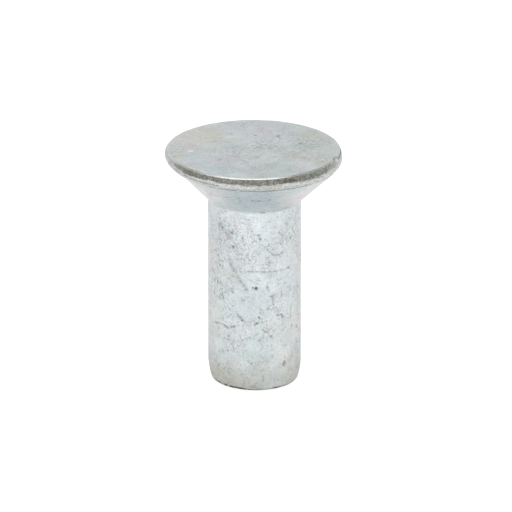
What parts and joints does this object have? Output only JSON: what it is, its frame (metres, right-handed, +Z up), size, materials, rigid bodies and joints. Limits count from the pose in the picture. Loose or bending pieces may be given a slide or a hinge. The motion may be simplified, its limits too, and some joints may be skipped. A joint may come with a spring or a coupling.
{
  "type": "solid rivet",
  "caption": "Solid countersunk rivet with a flat face, a bulged rim, a conical seat and a plain round shank, headed in one piece to clinch plates together.",
  "frame": {"origin": "centre of the shank's flat end face, on which the rivet stands", "axes": "+Z up the shank's axis, from its end to the head's flat face; X and Y are free, because the shape is turned"},
  "size_m": [0.0116, 0.0116, 0.016],
  "materials": {
    "zinc_plated_steel": "zinc plated, clear passivated, satin"
  },
  "bodies": {
    "root": {"rivet": "zinc_plated_steel"}
  },
  "joints": []
}
